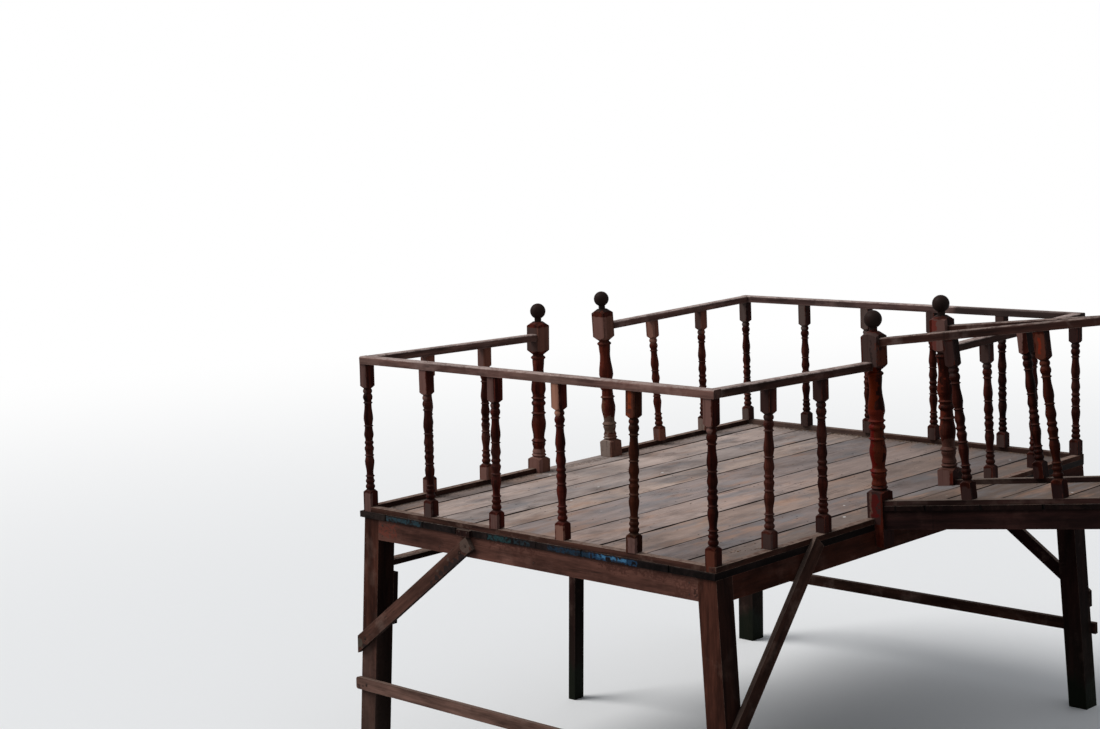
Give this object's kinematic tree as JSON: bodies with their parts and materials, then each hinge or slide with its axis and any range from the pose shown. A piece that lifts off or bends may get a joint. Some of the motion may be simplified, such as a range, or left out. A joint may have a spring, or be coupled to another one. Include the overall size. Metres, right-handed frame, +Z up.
{
  "type": "wooden jetty",
  "caption": "Railed timber platform on splayed legs, with an opening to the water on one side and a sloping railed gangway on the other.",
  "frame": {"origin": "middle of the jetty's footprint, at the feet of the legs", "axes": "+X along the gangway towards the shore, +Y from the near side of the platform to its far side, +Z up"},
  "size_m": [5.5768, 3.7757, 3.1139],
  "materials": {
    "leg_timber": "old brown stain, black and wet near the foot",
    "beam_timber": "worn red-brown stain",
    "brace_timber": "worn brown stain, greyed at the ends",
    "deck_timber": "bare, grey and trodden",
    "rail_timber": "greyed on top over red-brown stain",
    "turned_timber": "old mahogany stain, satin where it is left"
  },
  "bodies": {
    "root": {"lake_near_leg": "leg_timber", "shore_near_leg": "leg_timber", "lake_far_leg": "leg_timber", "shore_far_leg": "leg_timber", "lake_middle_leg": "leg_timber", "near_beam": "beam_timber", "far_beam": "beam_timber", "lake_beam": "beam_timber", "shore_beam": "beam_timber", "joists": "beam_timber", "deck_planks": "deck_timber", "near_kerb": "beam_timber", "far_kerb": "beam_timber", "lake_kerbs": "beam_timber", "shore_kerbs": "beam_timber", "near_tie": "brace_timber", "far_tie": "brace_timber", "lake_step": "brace_timber", "cleats": "brace_timber", "near_brace": "brace_timber", "far_brace": "brace_timber", "shore_brace": "brace_timber", "near_rail": "rail_timber", "far_rail": "rail_timber", "lake_rails": "rail_timber", "shore_rails": "rail_timber", "near_balusters": "turned_timber", "far_balusters": "turned_timber", "lake_balusters": "turned_timber", "shore_balusters": "turned_timber", "lake_newels": "turned_timber", "shore_newels": "turned_timber", "gangway_sill": "beam_timber", "gangway_near_stringer": "beam_timber", "gangway_far_stringer": "beam_timber", "gangway_planks": "deck_timber", "gangway_kerbs": "beam_timber", "gangway_near_rail": "rail_timber", "gangway_far_rail": "rail_timber", "gangway_near_balusters": "turned_timber", "gangway_far_balusters": "turned_timber", "gangway_end_newels": "turned_timber", "gangway_cross_beam": "beam_timber", "gangway_near_leg": "leg_timber", "gangway_far_leg": "leg_timber"}
  },
  "joints": []
}
